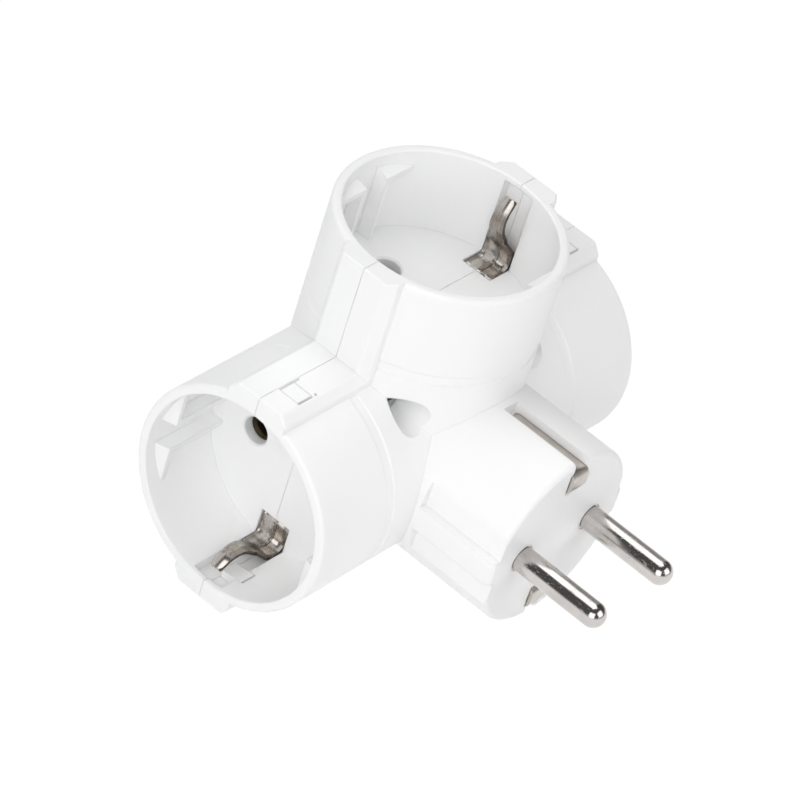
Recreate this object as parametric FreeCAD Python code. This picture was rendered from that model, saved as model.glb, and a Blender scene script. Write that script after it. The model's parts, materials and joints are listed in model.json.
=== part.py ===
"""Three-way earthed plug adapter: two moulded shells round the pins, sleeves, bars and earth springs.

Millimetres. The origin is the middle of the plug's front face, the pins point to -Y, the side sockets
open to -X and +X and the upper socket opens to +Z.
"""
import FreeCAD, Part
import math
import os

V = FreeCAD.Vector

# Sockets, measured from the point where their axes cross
tube_wall = 1.9
floor_offset = 4.85
recess_depth = 17.2
floor_thickness = 2.4
rim_round = 0.7
mouth_round = 0.35
groove_offset = 2.75
groove_width = 2.2
groove_depth = 0.25

# Plug
pin_to_flat = 6.9
flat_depth = 1.75
socket_clearance = 1.2
plug_step = 18.5
flat_margin = 0.9
key_half_width = 2.5
face_wall = 2.5
face_edge_round = 1.0
plug_wall = 2.5

# Pins and their holes
pin_radius = 2.4
pin_pitch = 19.0
pin_reach = 19.0
pin_root_radius = 2.6
pin_root_setback = 0.1
pin_flange_radius = 3.8
pin_flange_thickness = 1.5
pin_shoulder = 12.0
pin_tail_radius = 1.5
pin_head_height = 1.0
hole_clearance = 0.25
pin_hole_bevel = 0.35

# Flat bands that run along both ends of the seam
band_rise = 2.15
band_foot = 0.25
band_half_width = 6.5
band_flat_half_width = 5.1
band_bevel = 0.3
seam_gap = 0.05

# Keys in the recess walls, which the plug's flats slide between
key_clearance = 0.05
key_side_clearance = 0.2
key_wall = 1.0
key_top = 3.3
key_slope = 1.0
key_plate = 1.1
key_flange_reach = 12.0
key_root = 0.15

# Earth spring openings
channel_half_width = 3.3
channel_skin = 0.35
channel_top = 1.1
opening_length = 5.65

# Snap tongues of the rear shell in the front shell's bands
snap_near = 4.9
snap_width = 3.5
snap_reach = 4.45
snap_slot = 0.45
snap_gap = 0.1
snap_flush = 0.05
snap_slit_length = 5.1
snap_slit_width = 0.5
snap_slit_depth = 1.2
barb_length = 1.2
barb_width = 0.7
barb_skin = 1.0
barb_height = 1.4
barb_notch = 0.5

# Screws
screw_inset = 4.4
screw_seat_offset = 6.75
well_radius = 3.0
well_wall = 1.4
screw_head_radius = 2.75
screw_head_height = 2.0
screw_slot_width = 0.8
screw_slot_depth = 0.9
screw_radius = 1.45
screw_length = 14.0
screw_tip = 2.0
screw_clearance = 0.3
thread_clearance = 0.05
rear_boss_radius = 3.6
pilot_margin = 1.0

# Earth springs: heights from the recess floor, depths from the rim
sheet = 0.7
spring_width = 6.0
spring_arm_width = 3.4
spring_end_width = 2.5
spring_tip_width = 1.5
spring_tip_bevel = 0.8
spring_base_drop = 0.4
spring_shoulder = 3.8
spring_neck = 5.4
spring_inner_depth = 6.8
spring_tip_depth = 2.4
spring_wall_offset = 0.05
spring_inner_offset = 4.55
spring_tip_offset = 1.85
spring_leg_gap = 0.2
spring_bends = [0.5, 0.8, 2.0, 3.0, 5.0]
bead_width = 0.9
bead_height = 0.3
bead_sink = 0.2
bead_start = 0.6

# Contact bars, sleeves and earth plate
bus_sheet = 0.8
bus_half_width = 3.0
bus_end_margin = 3.5
bus_bend = 1.0
earth_sheet = 1.0
earth_bend = 1.2
sleeve_clearance = 0.1
sleeve_wall = 0.6
sleeve_length = 15.6
sleeve_gap = 0.3
sleeve_slot = 0.8
sleeve_slot_length = 9.0
sleeve_flare = 0.35
saddle_thickness = 1.5
saddle_half_width = 4.5
saddle_clearance = 0.1
saddle_setback = 3.0

# Earth strap of the plug
strap_sheet = 0.8
strap_width = 4.2
strap_depth = 2.0
strap_bulge = 0.75
strap_hook_drop = 4.2
strap_hook_depth = 2.8
strap_web_offset = 1.95
strap_side_gap = 0.05
strap_slot_width = 3.5
strap_mouth_gap = 0.2
strap_mouth_depth = 1.2
strap_mouth_drop = 0.5
strap_mouth_slant = 0.8
strap_bends = [1.0, 1.4, 1.2]
pad_half_width = 3.8
pad_thickness = 2.3
pad_skin = 1.0

# Plate behind the pin flanges
retainer_thickness = 2.0
retainer_half_height = 6.0

fit = 0.05
loose_fit = 0.1
bite = 0.5

half_pitch = pin_pitch / 2
plug_flat = half_pitch + pin_to_flat
plug_radius = plug_flat + flat_depth
recess_radius = plug_radius + socket_clearance
tube_radius = recess_radius + tube_wall
floor_level = tube_radius + floor_offset
rim_reach = floor_level + recess_depth
floor_back = floor_level - floor_thickness
groove_inner = tube_radius + groove_offset
axis_depth = tube_radius + plug_step
flat_end = plug_step - flat_margin
plug_inner_flat = plug_flat - plug_wall + fit
plug_inner_radius = plug_radius - plug_wall
pin_hole_radius = pin_radius + hole_clearance
pin_passage_radius = pin_root_radius + fit
band_height = tube_radius + band_rise
band_shoulder = tube_radius + band_foot
key_chord = plug_flat + key_clearance
key_slot_half_width = key_half_width + key_side_clearance
channel_radius = tube_radius - channel_skin
opening_inner = recess_radius - opening_length
snap_high = rim_reach - snap_near
snap_low = snap_high - snap_width
screw_x = tube_radius - screw_inset
screw_z = screw_x
screw_seat = axis_depth - screw_seat_offset
well_boss_radius = well_radius + well_wall
spring_wall_radius = recess_radius + spring_wall_offset
spring_base = floor_level - spring_base_drop - sheet / 2
sleeve_radius = pin_radius + sleeve_clearance
sleeve_outer = sleeve_radius + sleeve_wall
strap_top = plug_radius - strap_depth
strap_centre = strap_top - strap_sheet / 2
strap_hook = strap_top - strap_hook_drop
strap_web = plug_step - strap_web_offset


def box(x0, x1, y0, y1, z0, z1):
    """Box between two corners."""
    return Part.makeBox(x1 - x0, y1 - y0, z1 - z0, V(x0, y0, z0))


def rod_y(x, z, radius, y0, y1):
    """Cylinder along Y."""
    return Part.makeCylinder(radius, y1 - y0, V(x, y0, z), V(0, 1, 0))


def rod_z(x, y, radius, z0, z1):
    """Cylinder along Z."""
    return Part.makeCylinder(radius, z1 - z0, V(x, y, z0), V(0, 0, 1))


def join(shapes):
    """One solid from pieces that run into each other."""
    whole = shapes[0].multiFuse(shapes[1:]) if len(shapes) > 1 else shapes[0]
    return whole.removeSplitter()


def cut(shape, tools):
    """Shape with every tool taken out of it."""
    for tool in tools:
        shape = shape.cut(tool)
    return shape


def to_side(shape, side):
    """Move a socket shape, drawn with its mouth up, to the left, top or right."""
    turned = shape.copy()
    turned.rotate(V(0, 0, 0), V(0, 1, 0), {"left": -90, "top": 0, "right": 90}[side])
    turned.translate(V(0, axis_depth, 0))
    return turned


SIDES = ("left", "top", "right")


def each_side(shape):
    """The same socket shape at all three sockets."""
    return [to_side(shape, side) for side in SIDES]


def mirrored_x(shape):
    return shape.mirror(V(0, 0, 0), V(1, 0, 0))


def mirrored_y(shape):
    return shape.mirror(V(0, 0, 0), V(0, 1, 0))


def prism(points, direction):
    """Straight prism on a polygon."""
    corners = [V(*point) for point in points]
    return Part.Face(Part.makePolygon(corners + corners[:1])).extrude(V(*direction))


def bent_strip(corners, radii, thickness, plane, start, width):
    """Sheet strip that follows a line with rounded corners.

    plane turns a point of the flat drawing and a distance across it into a vector.
    """
    def unit(a, b):
        length = math.hypot(b[0] - a[0], b[1] - a[1])
        return ((b[0] - a[0]) / length, (b[1] - a[1]) / length)

    def shifted(point, direction, offset):
        return (point[0] - direction[1] * offset, point[1] + direction[0] * offset)

    def side(offset):
        """Edges of one face of the strip, as (kind, points) in order."""
        pieces = []
        last = shifted(corners[0], unit(corners[0], corners[1]), offset)
        for i, radius in enumerate(radii, 1):
            before = unit(corners[i - 1], corners[i])
            after = unit(corners[i], corners[i + 1])
            turn = before[0] * after[1] - before[1] * after[0]
            angle = math.acos(before[0] * after[0] + before[1] * after[1])
            back = radius * math.tan(angle / 2)
            enter = (corners[i][0] - before[0] * back, corners[i][1] - before[1] * back)
            leave = (corners[i][0] + after[0] * back, corners[i][1] + after[1] * back)
            sign = 1 if turn > 0 else -1
            centre = shifted(enter, before, sign * radius)
            reach = math.hypot(corners[i][0] - centre[0], corners[i][1] - centre[1])
            own = radius - sign * offset
            middle = (centre[0] + (corners[i][0] - centre[0]) / reach * own,
                      centre[1] + (corners[i][1] - centre[1]) / reach * own)
            a = shifted(enter, before, offset)
            b = shifted(leave, after, offset)
            pieces.append(("line", (last, a)))
            pieces.append(("arc", (a, middle, b)))
            last = b
        end = shifted(corners[-1], unit(corners[-2], corners[-1]), offset)
        pieces.append(("line", (last, end)))
        return pieces

    left = side(thickness / 2)
    right = side(-thickness / 2)

    def edge(kind, points):
        at = [plane(point, start) for point in points]
        if kind == "arc":
            return Part.Arc(*at).toShape()
        return Part.LineSegment(*at).toShape()

    edges = [edge(kind, points) for kind, points in left]
    edges.append(edge("line", (left[-1][1][-1], right[-1][1][-1])))
    edges += [edge(kind, points[::-1]) for kind, points in reversed(right)]
    edges.append(edge("line", (right[0][1][0], left[0][1][0])))
    across = plane((0, 0), start + width) - plane((0, 0), start)
    return Part.Face(Part.Wire(edges)).extrude(across)


def revolved(edges):
    """Solid of revolution about Z from a closed outline in the XZ plane."""
    return Part.Face(Part.Wire(edges)).revolve(V(0, 0, 0), V(0, 0, 1), 360)


def arc_between(start, end, corner):
    """Round corner in the XZ plane, from start to end inside the given corner."""
    share = 1 - math.sqrt(0.5)
    middle = V(corner[0] + (start[0] + end[0] - 2 * corner[0]) * share, 0,
               corner[1] + (start[1] + end[1] - 2 * corner[1]) * share)
    return Part.Arc(V(start[0], 0, start[1]), middle, V(end[0], 0, end[1])).toShape()


def line_xz(*points):
    """Lines through points of the XZ plane."""
    at = [V(x, 0, z) for x, z in points]
    return [Part.LineSegment(a, b).toShape() for a, b in zip(at, at[1:])]


def tube():
    """Round outside of one socket with its rounded rim and shallow groove."""
    r = tube_radius
    g = r - groove_depth
    low = groove_inner
    high = groove_inner + groove_width
    edges = line_xz((0, 0), (r, 0), (r, low), (g, low + groove_depth), (g, high - groove_depth), (r, high),
                    (r, rim_reach - rim_round))
    edges.append(arc_between((r, rim_reach - rim_round), (r - rim_round, rim_reach), (r, rim_reach)))
    edges += line_xz((r - rim_round, rim_reach), (0, rim_reach), (0, 0))
    return revolved(edges)


def bands():
    """Flat bands on both ends of the seam of one socket."""
    w = band_half_width
    f = band_flat_half_width
    deep = recess_radius
    profile = [(deep, -w, 0), (band_shoulder, -w, 0), (band_height, -f, 0), (band_height, f, 0),
               (band_shoulder, w, 0), (deep, w, 0)]
    band = prism(profile, (0, 0, rim_reach))

    def is_outer(edge):
        """The long edges of the flat, and the rim edges outside the tube."""
        a, b = (vertex.Point for vertex in edge.Vertexes)
        if min(a.x, b.x) < band_shoulder - fit:
            return False
        at_rim = min(a.z, b.z) > rim_reach - fit
        return at_rim or (abs(a.z - b.z) > fit and a.x > band_height - fit)

    band = band.makeChamfer(band_bevel, [edge for edge in band.Edges if is_outer(edge)])
    return [band, mirrored_x(band)]


def plug_outline(y0, y1, radius, flat, key):
    """Round bar along Y with two flats, each with a key down its middle."""
    bar = rod_y(0, 0, radius, y0, y1)
    side = box(flat, radius + 1, y0 - 1, flat_end, -radius, radius)
    if key:
        side = side.cut(box(flat - 1, radius + 2, y0 - 2, flat_end + 1, -key_half_width, key_half_width))
    return cut(bar, [side, mirrored_x(side)])


def plug_outside():
    """Plug body with its rounded front edge."""
    r = plug_radius
    e = face_edge_round
    edges = line_xz((0, 0), (r - e, 0))
    edges.append(arc_between((r - e, 0), (r, e), (r, 0)))
    edges += line_xz((r, e), (r, axis_depth), (0, axis_depth), (0, 0))
    blank = revolved(edges)
    blank.rotate(V(0, 0, 0), V(1, 0, 0), -90)
    return blank.common(plug_outline(0, axis_depth, r, plug_flat, True))


def outside():
    """Whole outer form of the adapter, still solid."""
    shapes = each_side(tube())
    for band in bands():
        shapes += each_side(band)
    shapes.append(plug_outside())
    return join(shapes)


def recess():
    """Round space of one socket, with a rounded mouth."""
    r = recess_radius
    m = mouth_round
    top = rim_reach + 1
    edges = line_xz((0, floor_level), (r, floor_level), (r, rim_reach - m))
    edges.append(arc_between((r, rim_reach - m), (r + m, rim_reach), (r, rim_reach)))
    edges += line_xz((r + m, rim_reach), (r + m, top), (0, top), (0, floor_level))
    return revolved(edges)


def spring_channel():
    """Opening in the floor and channel in the wall for one earth spring."""
    h = channel_half_width
    return box(opening_inner, channel_radius, -h, h, floor_back - 1, rim_reach - channel_top)


def pin_hole(side):
    """Hole in a socket floor for one pin, with a bevelled edge."""
    y = side * half_pitch
    hole = rod_z(0, y, pin_hole_radius, floor_back - 1, floor_level + 1)
    bevel = Part.makeCone(pin_hole_radius, pin_hole_radius + pin_hole_bevel, pin_hole_bevel,
                          V(0, y, floor_level - pin_hole_bevel), V(0, 0, 1))
    return hole.fuse(bevel)


def socket_spaces():
    """All spaces of one socket, drawn with the mouth up."""
    channel = spring_channel()
    return [recess(), channel, mirrored_x(channel), pin_hole(1), pin_hole(-1)]


def key_walls():
    """Key plates and their front flanges on the +Y wall of one recess."""
    root = recess_radius + key_root
    top = rim_reach - key_top
    high = top + key_slope * (root - key_chord) / (recess_radius - key_chord)
    low = floor_level - fit
    side = [(0, key_chord, low), (0, key_chord, top), (0, root, high), (0, root, low)]
    plate = prism([(key_slot_half_width, y, z) for x, y, z in side], (key_wall, 0, 0))
    flange = prism([(key_slot_half_width, y, max(z, top - key_plate)) for x, y, z in side],
                   (key_flange_reach - key_slot_half_width, 0, 0))
    half = plate.fuse(flange).common(rod_z(0, 0, root, low, rim_reach))
    return [half, mirrored_x(half)]


def saddle():
    """Half-round rest for one sleeve, from the wall to the sleeve's middle."""
    z1 = floor_back - saddle_setback
    z0 = z1 - saddle_thickness
    w = saddle_half_width
    plate = box(-w, w, half_pitch, tube_radius - bite, z0, z1)
    plate = plate.common(rod_z(0, 0, recess_radius + key_root, z0, z1))
    return plate.cut(rod_z(0, half_pitch, sleeve_outer + saddle_clearance, z0 - 1, z1 + 1))


def hub_space():
    """Hollow inside the hub and the plug body."""
    hollow = rod_z(0, 0, recess_radius, 0, floor_back)
    front = plug_outline(face_wall, flat_end, plug_inner_radius, plug_inner_flat, False)
    meeting = axis_depth - math.sqrt(recess_radius ** 2 - plug_inner_radius ** 2)
    back = rod_y(0, 0, plug_inner_radius, flat_end - bite, meeting + bite)
    return join(each_side(hollow) + [front, back])


def strap_pads():
    """Thick places of the plug wall that carry the earth strap."""
    high = box(-pad_half_width, pad_half_width, face_wall - bite, flat_end,
               strap_top - strap_sheet - pad_thickness, plug_radius - pad_skin)
    return [high, high.mirror(V(0, 0, 0), V(0, 0, 1))]


def strap_spaces():
    """Bed of the earth strap, the narrower slots above it and the mouths in the plug's face."""
    bed = strap_strip(strap_sheet + 2 * fit, strap_width + 2 * strap_side_gap)
    w = strap_slot_width / 2
    slot = box(-w, w, -1, strap_web + strap_sheet / 2 + fit, strap_centre, plug_radius + 1)
    wide = strap_width / 2 + strap_mouth_gap
    low = strap_hook - strap_sheet / 2 - strap_mouth_drop
    high = strap_top + fit
    outline = [(-wide, low), (-wide, high - strap_mouth_slant), (-w, high), (w, high),
               (wide, high - strap_mouth_slant), (wide, low)]
    mouth = prism([(x, -1, z) for x, z in outline], (0, 1 + strap_mouth_depth, 0))
    upper = slot.fuse(mouth)
    return [bed, upper, upper.mirror(V(0, 0, 0), V(0, 0, 1))]


def snap_spaces():
    """Window, seam slit and barb pocket of one band's snap tongue, in the front shell."""
    out = band_height + 1
    tip = -snap_reach
    window = box(recess_radius - 2, out, tip - snap_slot, 1, snap_low - snap_gap, snap_high + snap_gap)
    slit_end = snap_high + snap_gap - snap_slit_length
    slit = box(band_height - snap_slit_depth, out, -snap_slit_width, 1, slit_end, snap_high)
    skin = band_height - barb_skin
    low = snap_low - barb_length
    pocket = box(skin - barb_height - 2 * snap_gap, skin, tip - snap_slot, tip + barb_width + snap_gap,
                 low - snap_gap, snap_low)
    notch = box(skin - 1, out, tip - snap_slot, tip, low, low + barb_notch)
    return both_ends(window.multiFuse([slit, pocket, notch]))


def snap_tongues():
    """Barbed tongues of the rear shell that fill the front shell's windows."""
    top = band_height - snap_flush
    tip = -snap_reach
    neck = band_height - snap_slit_depth
    blank = box(recess_radius - 2, top, tip, -seam_gap, snap_low, snap_high)
    tongue = cut(blank, [rod_z(0, 0, recess_radius, snap_low - 1, snap_high + 1),
                         box(neck, top + 1, -snap_slit_width, 1, snap_low - 1, snap_high + 1)])
    root = box(channel_radius, neck, -snap_slit_width, 1, snap_low, snap_high)
    skin = band_height - barb_skin - snap_gap
    barb = box(skin - barb_height, skin, tip, tip + barb_width, snap_low - barb_length, snap_low + fit)
    return both_ends(tongue.multiFuse([root, barb]))


def both_ends(shape):
    """The same shape at both seam ends of the left and right sockets."""
    ends = [shape, mirrored_x(shape)]
    return [to_side(end, side) for side in ("left", "right") for end in ends]


def wells():
    """Screw wells from the plug side, with the holes for the screws."""
    shapes = []
    for x in (-screw_x, screw_x):
        shapes.append(rod_y(x, screw_z, well_radius, -1, screw_seat))
        shapes.append(rod_y(x, screw_z, screw_radius + screw_clearance, screw_seat - 1, axis_depth + 1))
    return shapes


def housing():
    """Front and rear shells of the adapter."""
    form = outside()
    spaces = [hub_space()]
    for shape in socket_spaces():
        spaces += each_side(shape)
    shell = cut(form, spaces)

    rear_parts = []
    front_parts = []
    for wall in key_walls():
        rear_parts += each_side(wall)
        front_parts += each_side(mirrored_y(wall))
    rear_parts += each_side(saddle())
    front_parts += each_side(mirrored_y(saddle()))
    plug_form = plug_outline(0, flat_end + 1, plug_radius, plug_flat, True)
    front_parts += [pad.common(plug_form) for pad in strap_pads()]

    big = 2 * rim_reach
    front_half = box(-big, big, -big, axis_depth - seam_gap / 2, -big, big)
    rear_half = box(-big, big, axis_depth + seam_gap / 2, big, -big, big)

    front_boss = []
    rear_boss = []
    for x in (-screw_x, screw_x):
        front_boss.append(rod_y(x, screw_z, well_boss_radius, 0, axis_depth).common(form))
        rear_boss.append(rod_y(x, screw_z, rear_boss_radius, axis_depth, 2 * axis_depth).common(form))

    front_parts = [p.common(front_half) for p in front_parts]
    front = join([shell.common(front_half)] + front_parts + front_boss)
    front = cut(front, wells() + snap_spaces() + strap_spaces() + pin_passages())

    rear_parts = [p.common(rear_half) for p in rear_parts]
    rear = join([shell.common(rear_half)] + rear_parts + rear_boss + snap_tongues())
    pilot_end = screw_seat + screw_length + pilot_margin
    pilots = [rod_y(x, screw_z, screw_radius + thread_clearance, axis_depth - 1, pilot_end)
              for x in (-screw_x, screw_x)]
    rear = cut(rear, pilots)
    return front, rear


def pin_passages():
    """Holes of the face wall for the roots of the two pins."""
    return [rod_y(x, 0, pin_passage_radius, -1, face_wall + 1) for x in (-half_pitch, half_pitch)]


def plug_pin(x):
    """Round pin with a domed end, a thicker root in the face wall, a flange and a riveted tail."""
    r = pin_radius
    tip = -pin_reach
    tail = pin_shoulder + bus_sheet
    body = rod_y(x, 0, r, tip + r, pin_shoulder)
    dome = Part.makeSphere(r, V(x, tip + r, 0))
    root = rod_y(x, 0, pin_root_radius, pin_root_setback, face_wall)
    flange = rod_y(x, 0, pin_flange_radius, face_wall, face_wall + pin_flange_thickness)
    stem = rod_y(x, 0, pin_tail_radius, pin_shoulder - 1, tail + pin_head_height / 2)
    head = rod_y(x, 0, r, tail, tail + pin_head_height)
    return join([body, dome, root, flange, stem, head])


def pin_retainer():
    """Insulating plate that is pressed in behind the pin flanges."""
    y0 = face_wall + pin_flange_thickness
    w = plug_inner_flat - loose_fit
    h = retainer_half_height
    plate = box(-w, w, y0, y0 + retainer_thickness, -h, h)
    y1 = y0 + retainer_thickness
    holes = [rod_y(x, 0, pin_radius + fit, y0 - 1, y1 + 1) for x in (-half_pitch, half_pitch)]
    return cut(plate, holes)


def spring_strip(path, bends, thickness, width):
    """Strip of a bracket, drawn as radius and height in one socket."""
    return bent_strip(path, bends, thickness, lambda p, d: V(p[0], d, p[1]), -width / 2, width)


def spring_bracket():
    """One-piece earth bracket: a bar under the floor with a beaded spring at each end."""
    leg = opening_inner + spring_leg_gap + sheet / 2
    bar = floor_back - sheet / 2
    wall = spring_wall_radius
    shoulder = floor_level + spring_shoulder
    bend = shoulder - sheet
    path = [(0, bar), (leg, bar), (leg, spring_base), (wall, spring_base), (wall, bend),
            (recess_radius - spring_inner_offset, rim_reach - spring_inner_depth),
            (recess_radius - spring_tip_offset, rim_reach - spring_tip_depth)]
    strip = spring_strip(path, spring_bends, sheet, spring_width)
    wide = spring_width / 2
    arm = spring_arm_width / 2
    end = spring_end_width / 2
    tip = spring_tip_width / 2
    top = rim_reach - spring_tip_depth + sheet / 2
    outline = [(wide, 0), (wide, shoulder), (arm, floor_level + spring_neck), (end, top - spring_tip_bevel),
               (tip, top)]
    mask = prism([(-1, -y, z) for y, z in outline] + [(-1, y, z) for y, z in reversed(outline)],
                 (tube_radius + 2, 0, 0))
    rise = sheet / 2 + (bead_height - bead_sink) / 2
    low = spring_base + rise
    bead_path = [(leg + bead_start, low), (wall - rise, low), (wall - rise, bend - 1)]
    bead = spring_strip(bead_path, [spring_bends[2] - rise], bead_height + bead_sink, bead_width)
    half = strip.common(mask).fuse(bead)
    return join([half, mirrored_x(half)])


def sleeve(side):
    """Split contact sleeve behind one pin hole, with a flared mouth."""
    y = side * half_pitch
    z1 = floor_back - sleeve_gap
    z0 = z1 - sleeve_length
    wall = rod_z(0, y, sleeve_outer, z0, z1).cut(rod_z(0, y, sleeve_radius, z0 - 1, z1 + 1))
    flare = Part.makeCone(sleeve_radius, sleeve_radius + sleeve_flare, sleeve_flare * 2,
                          V(0, y, z1 - sleeve_flare * 2), V(0, 0, 1))
    outer = y + side * (sleeve_outer + 1)
    w = sleeve_slot / 2
    slot = box(-w, w, min(y, outer), max(y, outer), z1 - sleeve_slot_length, z1 + 1)
    return cut(wall, [flare, slot])


def pin_leg(x, y_bar, z_low):
    """Bent leg from a contact bar to the tail of a plug pin."""
    half = bus_half_width - bite
    y_tab = pin_shoulder + bus_sheet / 2
    z = z_low + bus_sheet / 2
    path = [(y_tab, pin_radius + 1.5), (y_tab, z), (y_bar, z), (y_bar, -bus_half_width + bite)]
    leg = bent_strip(path, [bus_bend, bus_bend], bus_sheet, lambda p, d: V(d, p[0], p[1]), x - half, 2 * half)
    return leg.cut(rod_y(x, 0, pin_tail_radius + fit, pin_shoulder - 1, pin_shoulder + bus_sheet + 1))


def busbar(side):
    """T-shaped contact bar that three sleeves are welded to, with its leg to one plug pin."""
    middle = axis_depth + side * (half_pitch - sleeve_outer - bus_sheet / 2)
    y0 = middle - bus_sheet / 2
    y1 = middle + bus_sheet / 2
    reach = floor_back - bus_end_margin
    w = bus_half_width
    across = box(-reach, reach, y0, y1, -w, w)
    upright = box(-w, w, y0, y1, 0, reach)
    leg = pin_leg(side * half_pitch, middle, -sleeve_outer - 2.5)
    return join([across, upright, leg])


def earth_plate():
    """Cross-shaped earth plate with folded feet on the brackets and a leg to the plug's strap."""
    t = earth_sheet / 2
    reach = floor_back - sheet
    w = bus_half_width
    foot = box(-w, w, -t, w, reach - bus_sheet, reach)
    arm = box(-w, w, -t, t, 0, reach)
    shapes = []
    for shape in (arm, foot):
        shapes += each_side(shape)
    y_bar = axis_depth
    z = -strap_hook + 1.0
    y_tab = strap_web + strap_sheet / 2 + earth_sheet / 2
    path = [(y_tab, -bus_half_width - 2), (y_tab, z), (y_bar, z), (y_bar, 0)]
    leg = bent_strip(path, [earth_bend, earth_bend], earth_sheet, lambda p, d: V(d, p[0], p[1]),
                     -strap_width / 2, strap_width)
    return join(shapes + [leg])


def strap_strip(thickness, width):
    """U-shaped strip: two outer arms with hooked ends, joined by a web inside."""
    front = strap_sheet / 2 - strap_bulge
    half = [(strap_hook_depth, strap_hook), (front, strap_hook), (front, strap_centre),
            (strap_web, strap_centre)]
    path = half + [(y, -z) for y, z in reversed(half)]
    bends = strap_bends + strap_bends[::-1]
    return bent_strip(path, bends, thickness, lambda p, d: V(d, p[0], p[1]), -width / 2, width)


def screw(x):
    """Slotted pan-head screw that holds the shells together."""
    top = screw_seat - screw_head_height
    head = rod_y(x, screw_z, screw_head_radius, top, screw_seat)
    end = screw_seat + screw_length - screw_tip
    shank = rod_y(x, screw_z, screw_radius, screw_seat - bite, end)
    tip = Part.makeCone(screw_radius, screw_radius / 3, screw_tip, V(x, end, screw_z), V(0, 1, 0))
    reach = screw_head_radius + 1
    slot = box(x - reach, x + reach, top - 1, top + screw_slot_depth, screw_z - screw_slot_width / 2,
               screw_z + screw_slot_width / 2)
    return join([head, shank, tip]).cut(slot)


def pieces():
    """Every piece of the adapter under its own name."""
    front, rear = housing()
    parts = {"front_housing": front, "rear_housing": rear}
    parts["plug_pin_left"] = plug_pin(-half_pitch)
    parts["plug_pin_right"] = plug_pin(half_pitch)
    parts["pin_retainer"] = pin_retainer()
    parts["plug_earth_strap"] = strap_strip(strap_sheet, strap_width)
    parts["earth_plate"] = earth_plate()
    parts["front_contact_bar"] = busbar(-1)
    parts["rear_contact_bar"] = busbar(1)
    bracket = spring_bracket()
    for side in SIDES:
        parts["earth_bracket_" + side] = to_side(bracket, side)
        parts["front_sleeve_" + side] = to_side(sleeve(-1), side)
        parts["rear_sleeve_" + side] = to_side(sleeve(1), side)
    parts["screw_left"] = screw(-screw_x)
    parts["screw_right"] = screw(screw_x)
    return parts


def main():
    os.makedirs("parts", exist_ok=True)
    for name, shape in pieces().items():
        shape.exportStep("parts/" + name + ".step")
        print(name, shape.ShapeType, len(shape.Solids), "solid", shape.isValid(), round(shape.Volume, 1))


main()
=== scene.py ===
"""Looks of the three-way earthed adapter: white moulded shells, nickel pins and springs on a pale floor."""

import json
import math

import bpy
from mathutils import Matrix, Vector


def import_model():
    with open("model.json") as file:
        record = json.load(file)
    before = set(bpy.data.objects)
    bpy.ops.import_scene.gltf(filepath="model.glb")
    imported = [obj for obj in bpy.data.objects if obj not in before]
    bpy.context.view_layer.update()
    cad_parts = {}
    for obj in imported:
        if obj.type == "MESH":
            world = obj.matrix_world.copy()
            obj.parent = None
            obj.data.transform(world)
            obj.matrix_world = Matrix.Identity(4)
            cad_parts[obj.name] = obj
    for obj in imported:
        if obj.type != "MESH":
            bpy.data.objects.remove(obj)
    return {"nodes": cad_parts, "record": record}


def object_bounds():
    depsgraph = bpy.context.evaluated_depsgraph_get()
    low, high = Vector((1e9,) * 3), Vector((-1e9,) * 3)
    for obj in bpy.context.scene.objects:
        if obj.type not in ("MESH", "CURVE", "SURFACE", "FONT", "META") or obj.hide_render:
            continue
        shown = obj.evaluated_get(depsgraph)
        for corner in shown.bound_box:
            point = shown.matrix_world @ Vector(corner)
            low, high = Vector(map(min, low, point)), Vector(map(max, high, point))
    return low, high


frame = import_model()
cad_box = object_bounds()
MM = 0.001

# Camera, solved from the photograph: angles in radians, lengths in millimetres
CAMERA_TURN = -1.0556
CAMERA_HEIGHT = 0.6765
CAMERA_ROLL = 0.3211
CAMERA_DISTANCE = 808.67
CAMERA_AIM = Vector((-41.217, 15.0, 41.036))
FOCAL_PIXELS = 4906.7
IMAGE_SIZE = 800
SENSOR = 36.0
# Nearest and farthest distance that the camera shows, in metres
NEAR = 0.01
FAR = 50.0

# Colour sockets of the mix node, by number because their names repeat
COLOUR_A = 6
COLOUR_B = 7
MIXED_COLOUR = 2
BEVEL_SAMPLES = 6


class Socket:
    """One output of a node, which sums and products can be written with."""

    def __init__(self, graph, link):
        self.graph = graph
        self.link = link

    def maths(self, operation, *others):
        return self.graph.node("ShaderNodeMath", {"operation": operation}, (self, *others))

    def __add__(self, other):
        return self.maths("ADD", other)

    __radd__ = __add__

    def __mul__(self, other):
        return self.maths("MULTIPLY", other)

    def __sub__(self, other):
        return self.maths("SUBTRACT", other)

    def __rsub__(self, other):
        return self.graph.node("ShaderNodeMath", {"operation": "SUBTRACT"}, (other, self))

    def __truediv__(self, other):
        return self.maths("DIVIDE", other)

    def clamp(self):
        return self.maths("MAXIMUM", 0.0).maths("MINIMUM", 1.0)

    def ramp(self, low, high):
        """From 0 at low to 1 at high, with soft ends."""
        settings = {"interpolation_type": "SMOOTHSTEP"}
        return self.graph.node("ShaderNodeMapRange", settings, (self, low, high, 0.0, 1.0))


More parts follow.
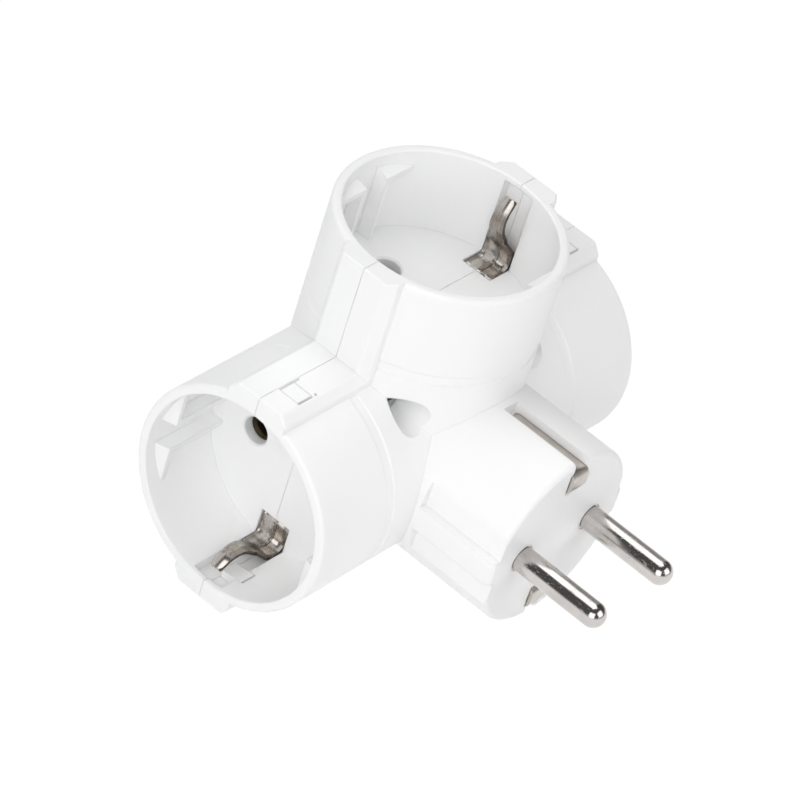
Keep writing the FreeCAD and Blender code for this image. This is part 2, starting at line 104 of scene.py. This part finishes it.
class Graph:
    """The node tree of one material, light or world."""

    def __init__(self, owner):
        owner.use_nodes = True
        self.tree = owner.node_tree
        self.tree.nodes.clear()

    def node(self, kind, settings=None, inputs=(), out=0):
        """A node with its settings made first, then the values or links of its sockets."""
        made = self.tree.nodes.new(kind)
        for key, value in (settings or {}).items():
            setattr(made, key, value)
        pairs = inputs.items() if isinstance(inputs, dict) else enumerate(inputs)
        for key, value in pairs:
            if isinstance(value, Socket):
                self.tree.links.new(value.link, made.inputs[key])
            elif value is not None:
                made.inputs[key].default_value = value
        return Socket(self, made.outputs[out]) if made.outputs else made

    def place(self):
        """Place on the object, in metres."""
        return self.node("ShaderNodeTexCoord", out="Object")

    def stretched(self, scale):
        """Place on the object, with each axis scaled by its own number."""
        return self.node("ShaderNodeVectorMath", {"operation": "MULTIPLY"}, (self.place(), scale))

    def axis(self, vector, name):
        """The X, Y or Z of a vector."""
        return self.node("ShaderNodeSeparateXYZ", None, (vector,), out=name)

    def noise(self, at, scale, detail, roughness=0.5):
        inputs = {"Vector": at, "Scale": scale, "Detail": detail, "Roughness": roughness}
        return self.node("ShaderNodeTexNoise", None, inputs)

    def mix(self, factor, a, b):
        """Colour between a and b."""
        inputs = {"Factor": factor, COLOUR_A: a, COLOUR_B: b}
        return self.node("ShaderNodeMix", {"data_type": "RGBA"}, inputs, out=MIXED_COLOUR)

    def bump(self, height, distance, normal, strength=1.0):
        inputs = {"Height": height, "Distance": distance, "Strength": strength, "Normal": normal}
        return self.node("ShaderNodeBump", None, inputs)

    def soft_edges(self, radius):
        """Normals that run smoothly over the edges, as a mould or a punch leaves them."""
        return self.node("ShaderNodeBevel", {"samples": BEVEL_SAMPLES}, (radius,))

    def seen_by(self, *rays):
        """1 for the light rays of these kinds, and 0 for the others."""
        first, *others = (self.node("ShaderNodeLightPath", out=ray) for ray in rays)
        return sum(others, first).clamp() if others else first

    def surface(self, inputs):
        """Principled surface on the material's output."""
        shader = self.node("ShaderNodeBsdfPrincipled", None, inputs)
        self.node("ShaderNodeOutputMaterial", None, {"Surface": shader})


def colour(red, green, blue):
    return (red, green, blue, 1.0)


WHITE = colour(1.0, 1.0, 1.0)

# Noise patterns of the plastic, as scale, detail and roughness, and the part of their range that shows
CLOUD_SCALE = 45.0
CLOUD_DETAIL = 3.0
CLOUD_RANGE = (0.3, 0.75)
CLOUD_TINT = (0.99, 0.99, 0.988)
MOULD_GRAIN = (3200.0, 2.0, 0.6)
GRAIN_DEPTH = 0.004 * MM
GRAIN_STRENGTH = 0.35
WALL_WAVE = (130.0, 1.0)
WAVE_DEPTH = 0.05 * MM
WAVE_STRENGTH = 0.5
SCUFF_STRETCH = (260.0, 900.0, 420.0)
SCUFFS = (1.0, 4.0, 0.7)
SCUFF_RANGE = (0.62, 0.8)
# Edges and gloss of the plastic, and what each pattern adds to its roughness
MOULD_EDGE = 0.3 * MM
PLASTIC_SPECULAR = 0.45
PLASTIC_ROUGHNESS = 0.34
CLOUD_HAZE = 0.06
SCUFF_HAZE = 0.08
GRAIN_HAZE = 0.04


def moulded_plastic(name, tone, seed):
    """Satin white plastic: faint cloudiness, a fine mould grain and slightly waved walls."""
    material = bpy.data.materials.new(name)
    g = Graph(material)
    at = g.place()
    cloud = g.noise(at, CLOUD_SCALE + seed, CLOUD_DETAIL)
    grain = g.noise(at, *MOULD_GRAIN)
    scuff = g.noise(g.stretched(SCUFF_STRETCH), *SCUFFS).ramp(*SCUFF_RANGE)
    cloudy = tuple(value * share for value, share in zip(tone, CLOUD_TINT))
    waved = g.bump(g.noise(at, *WALL_WAVE), WAVE_DEPTH, g.soft_edges(MOULD_EDGE), WAVE_STRENGTH)
    g.surface({
        "Base Color": g.mix(cloud.ramp(*CLOUD_RANGE), colour(*tone), colour(*cloudy)),
        "Roughness": PLASTIC_ROUGHNESS + cloud * CLOUD_HAZE + scuff * SCUFF_HAZE + grain * GRAIN_HAZE,
        "Normal": g.bump(grain, GRAIN_DEPTH, waved, GRAIN_STRENGTH),
        "Specular IOR Level": PLASTIC_SPECULAR,
    })
    return material


# How much the place is stretched for the drawing lines of a piece
ALONG_PINS = (2600.0, 60.0, 2600.0)
ALONG_STRIPS = (60.0, 1900.0, 60.0)
ALL_WAYS = (900.0, 900.0, 900.0)
# Noise patterns of the metal, as scale, detail and roughness, and the part of their range that shows
LINES = (1.0, 3.0, 0.65)
LINE_RANGE = (0.35, 0.65)
LINE_STRENGTH = 0.5
TARNISH = (240.0, 3.0)
TARNISH_RANGE = (0.35, 0.75)
SPECKS = (2600.0, 2.0, 0.7)
SPECK_RANGE = (0.6, 0.75)
SCRATCH_STRETCH = (2400.0, 600.0, 2400.0)
SCRATCHES = (1.0, 3.0, 0.75)
SCRATCH_RANGE = (0.56, 0.68)
# Shares of the patterns in the darker tone, on plain pieces and on formed strips
TARNISH_SHARE = 0.6
SPECK_SHARE = 0.4
STREAK_SHARE = 0.7
STREAK_SPECKS = 0.3
# Edges of the metal, and what each pattern adds to its roughness
SHEET_EDGE = 0.12 * MM
TARNISH_HAZE = 0.06
LINE_HAZE = 0.08
SPECK_HAZE = 0.06

# Rounded ribs that forming left in the spring strips: their middle, spacing and slope
RIB_MIDDLE = 39.75 * MM
RIB_WIDTH = 4.4 * MM
RIB_SLOPE = 0.4
DENTS = (420.0, 1.0)
DENT_DEPTH = 0.05 * MM
# Rolled tips of the side springs: where they start, and the drop one millimetre on
ROLL_START = 38.2 * MM
ROLL_DROP = 0.12 * MM
# Painted highlight: the plate of the strips is painted brighter below and above these heights in the
# sockets
FOOT_END = (27.5 * MM, 30.0 * MM)
TIP_START = (37.0 * MM, 39.0 * MM)
PAINTED_HIGHLIGHT_TONE = (0.66, 0.62, 0.58)
HIGHLIGHT_MARK_SHARE = 0.6
# Darker cut edges of the strips: from which sideways slope of the face on, and their tone
CUT_EDGE = (0.6, 0.9)
CUT_TONE = (0.10, 0.085, 0.07)


def formed_relief(g, normal):
    """Ribs, rolled tips and dents of a spring strip."""
    at = g.place()
    rib = ((g.axis(at, "Y") - RIB_MIDDLE) * (2.0 * math.pi / RIB_WIDTH)).maths("COSINE")
    roll = ((g.axis(at, "X").maths("ABSOLUTE") - ROLL_START) / MM).maths("MAXIMUM", 0.0)
    ribbed = g.bump(rib, RIB_SLOPE * RIB_WIDTH / (2.0 * math.pi), normal)
    rolled = g.bump(roll * roll * -1.0, ROLL_DROP, ribbed)
    return g.bump(g.noise(at, *DENTS), DENT_DEPTH, rolled)


def formed_paint(g, paint, marks):
    """Colour of a spring strip: a painted highlight on its foot and tips, and darker on its cut edges."""
    at = g.place()
    height = g.axis(at, "X").maths("ABSOLUTE").maths("MAXIMUM", g.axis(at, "Z"))
    # Painted highlight: the foot and tips of the strips get a brighter tone
    painted_highlight = 1.0 - height.ramp(*FOOT_END) + height.ramp(*TIP_START)
    paint = g.mix(painted_highlight * (1.0 - marks * HIGHLIGHT_MARK_SHARE), paint, colour(*PAINTED_HIGHLIGHT_TONE))
    sideways = g.axis(g.node("ShaderNodeNewGeometry", out="True Normal"), "Y").maths("ABSOLUTE")
    return g.mix(sideways.ramp(*CUT_EDGE), paint, colour(*CUT_TONE))


def plated_metal(name, tone, shade, roughness, along, line_depth, wear=0.0, formed=False):
    """Bright plate with fine drawing lines, tarnish and scratches; formed makes it a spring strip's."""
    material = bpy.data.materials.new(name)
    g = Graph(material)
    lines = g.noise(g.stretched(along), *LINES)
    tarnish = g.noise(g.place(), *TARNISH)
    specks = g.noise(g.place(), *SPECKS).ramp(*SPECK_RANGE)
    scratches = g.noise(g.stretched(SCRATCH_STRETCH), *SCRATCHES).ramp(*SCRATCH_RANGE)
    normal = g.soft_edges(SHEET_EDGE)
    if formed:
        normal = formed_relief(g, normal)
        marks = lines.ramp(*LINE_RANGE) * STREAK_SHARE + specks * STREAK_SPECKS
        paint = formed_paint(g, g.mix(marks, colour(*tone), colour(*shade)), marks)
    else:
        marks = tarnish.ramp(*TARNISH_RANGE) * TARNISH_SHARE + specks * SPECK_SHARE
        paint = g.mix(marks, colour(*tone), colour(*shade))
    haze = tarnish * TARNISH_HAZE + lines * LINE_HAZE + specks * SPECK_HAZE + scratches * wear
    g.surface({
        "Base Color": paint,
        "Metallic": 1.0,
        "Roughness": roughness + haze,
        "Normal": g.bump(lines, line_depth, normal, LINE_STRENGTH),
    })
    return material


def finishes():
    """The materials of the record's slots."""
    return {
        "front_shell": moulded_plastic("front_shell_white", (0.96, 0.96, 0.961), seed=0.0),
        "rear_shell": moulded_plastic("rear_shell_white", (0.955, 0.957, 0.959), seed=7.0),
        "retainer": moulded_plastic("retainer_white", (0.82, 0.82, 0.79), seed=3.0),
        "pin": plated_metal("pin_nickel", (0.66, 0.63, 0.608), (0.52, 0.49, 0.472),
                            roughness=0.09, along=ALONG_PINS, line_depth=0.02 * MM, wear=0.3),
        "strap": plated_metal("strap_nickel", (0.66, 0.62, 0.58), (0.50, 0.46, 0.42),
                              roughness=0.24, along=ALONG_PINS, line_depth=0.01 * MM),
        "spring": plated_metal("spring_strip", (0.44, 0.40, 0.36), (0.29, 0.255, 0.22),
                               roughness=0.20, along=ALONG_STRIPS, line_depth=0.03 * MM, wear=0.05,
                               formed=True),
        "earth_metal": plated_metal("earth_sheet", (0.60, 0.57, 0.53), (0.48, 0.45, 0.41),
                                    roughness=0.3, along=ALL_WAYS, line_depth=0.01 * MM),
        # Painted shade: the contacts deep in the socket holes get a near-black tone
        "contact_metal": plated_metal("contact_brass_painted_shade", (0.17, 0.13, 0.08), (0.10, 0.08, 0.05),
                                      roughness=0.45, along=ALL_WAYS, line_depth=0.01 * MM),
        "screw": plated_metal("screw_zinc", (0.50, 0.51, 0.52), (0.36, 0.36, 0.38),
                              roughness=0.35, along=ALL_WAYS, line_depth=0.01 * MM),
    }


def dress_nodes():
    """Put each slot's finish on the pieces that the record gives it."""
    made = finishes()
    for part in frame["record"]["subparts"]:
        node = frame["nodes"][part["node"]]
        node.data.materials.clear()
        node.data.materials.append(made[part["material_slot"]])


LIGHT_DISTANCE = 0.7
LIGHT_AIM = Vector((0.0, 25.0, 8.0)) * MM
# Name: turn and height in degrees, width and depth in metres, radiance, whether metal mirrors it
SOFTBOXES = {
    "overhead": (60.0, 67.0, 0.50, 0.75, 1.72, True),
    "front_left": (-157.0, 24.0, 0.60, 0.52, 1.67, True),
    "front_right": (-75.0, 30.0, 0.55, 0.50, 1.62, True),
    "fill": (-150.0, 45.0, 0.45, 0.45, 0.95, False),
    "back": (150.0, 35.0, 0.50, 0.50, 1.3, False),
}
AMBIENT = 0.19
BOUNCES = 12


def studio_direction(turn, height):
    """Unit vector towards a light, from its angles in degrees."""
    a = math.radians(turn)
    e = math.radians(height)
    return Vector((math.cos(e) * math.cos(a), math.cos(e) * math.sin(a), math.sin(e)))


def softboxes():
    """Rectangular studio lights round the object, whose light goes on between the white walls."""
    bpy.context.scene.cycles.max_bounces = BOUNCES
    bpy.context.scene.cycles.diffuse_bounces = BOUNCES
    for name, (turn, height, width, depth, radiance, mirrored) in SOFTBOXES.items():
        light = bpy.data.lights.new(name, "AREA")
        light.shape = "RECTANGLE"
        light.size = width
        light.size_y = depth
        light.energy = radiance * math.pi * width * depth
        lamp = bpy.data.objects.new(name, light)
        direction = studio_direction(turn, height)
        lamp.location = LIGHT_AIM + direction * LIGHT_DISTANCE
        lamp.rotation_euler = direction.to_track_quat("Z", "Y").to_euler()
        lamp.visible_glossy = mirrored
        bpy.context.scene.collection.objects.link(lamp)


# What metal mirrors: levels of the dim sky, the grey at its rear right, the rear wall and the white below
SKY_LEVEL = 0.075
RIGHT_LEVEL = 0.3
REAR_LEVEL = 0.8
LOW_LEVEL = 0.85
LOW_RIGHT = 0.35
SKY_EDGE = (-0.05, 0.2)
RIGHT_EDGE = (0.4, 0.8)
RIGHT_FRONT = (0.15, 0.35)
REAR_EDGE = (0.42, 0.6)


def world():
    """White to the camera, an even light on the object, and a dim studio above the horizon in the metal."""
    made = bpy.data.worlds.new("studio")
    bpy.context.scene.world = made
    g = Graph(made)
    seen = g.seen_by("Is Camera Ray")
    mirrored = g.seen_by("Is Glossy Ray", "Is Transmission Ray")
    direction = g.node("ShaderNodeTexCoord", out="Generated")
    x, y, z = (g.axis(direction, name) for name in "XYZ")
    upward = z.ramp(*SKY_EDGE)
    right = x.ramp(*RIGHT_EDGE)
    rear = y.ramp(*REAR_EDGE)
    sky = SKY_LEVEL + right * y.ramp(*RIGHT_FRONT) * RIGHT_LEVEL
    high = sky * (1.0 - rear) + rear * REAR_LEVEL
    low = LOW_LEVEL - right * LOW_RIGHT
    studio = upward * high + (1.0 - upward) * low
    level = seen + (1.0 - seen) * (mirrored * studio + (1.0 - mirrored) * AMBIENT)
    light = g.node("ShaderNodeBackground", None, {"Color": WHITE, "Strength": level})
    g.node("ShaderNodeOutputWorld", None, {"Surface": light})


FLOOR_GAP = 0.2 * MM
FLOOR_HALF = 6.0
FLOOR_TONE = 0.9
FLOOR_GLOW = 1.04
SHADOW_SHARE = 0.07


def floor():
    """Plain white floor that keeps a faint shadow."""
    z = cad_box[0][2] - FLOOR_GAP
    corners = [(-FLOOR_HALF, -FLOOR_HALF, z), (FLOOR_HALF, -FLOOR_HALF, z),
               (FLOOR_HALF, FLOOR_HALF, z), (-FLOOR_HALF, FLOOR_HALF, z)]
    mesh = bpy.data.meshes.new("floor")
    mesh.from_pydata(corners, [], [(0, 1, 2, 3)])
    piece = bpy.data.objects.new("floor", mesh)
    bpy.context.scene.collection.objects.link(piece)
    material = bpy.data.materials.new("floor_white")
    g = Graph(material)
    shown = g.seen_by("Is Camera Ray", "Is Glossy Ray")
    paint = g.node("ShaderNodeBsdfDiffuse", None, {"Color": colour(FLOOR_TONE, FLOOR_TONE, FLOOR_TONE)})
    glow = g.node("ShaderNodeEmission", None, {"Color": WHITE, "Strength": FLOOR_GLOW})
    both = g.node("ShaderNodeMixShader", None, (shown * (1.0 - SHADOW_SHARE), paint, glow))
    g.node("ShaderNodeOutputMaterial", None, {"Surface": both})
    mesh.materials.append(material)


def camera():
    """The photograph's camera."""
    flat = Vector((math.cos(CAMERA_TURN), math.sin(CAMERA_TURN), 0.0))
    back = Vector((math.cos(CAMERA_HEIGHT) * math.sin(CAMERA_TURN),
                   -math.cos(CAMERA_HEIGHT) * math.cos(CAMERA_TURN), math.sin(CAMERA_HEIGHT)))
    over = back.cross(flat)
    right = math.cos(CAMERA_ROLL) * flat + math.sin(CAMERA_ROLL) * over
    up = -math.sin(CAMERA_ROLL) * flat + math.cos(CAMERA_ROLL) * over
    data = bpy.data.cameras.new("camera")
    data.sensor_width = SENSOR
    data.lens = FOCAL_PIXELS / IMAGE_SIZE * SENSOR
    data.clip_start = NEAR
    data.clip_end = FAR
    made = bpy.data.objects.new("camera", data)
    turn = Matrix((right, up, back)).transposed()
    made.matrix_world = Matrix.Translation((CAMERA_AIM + back * CAMERA_DISTANCE) * MM) @ turn.to_4x4()
    bpy.context.scene.collection.objects.link(made)
    bpy.context.scene.camera = made


camera()
dress_nodes()
world()
softboxes()
floor()
bpy.context.scene.view_settings.view_transform = "Standard"
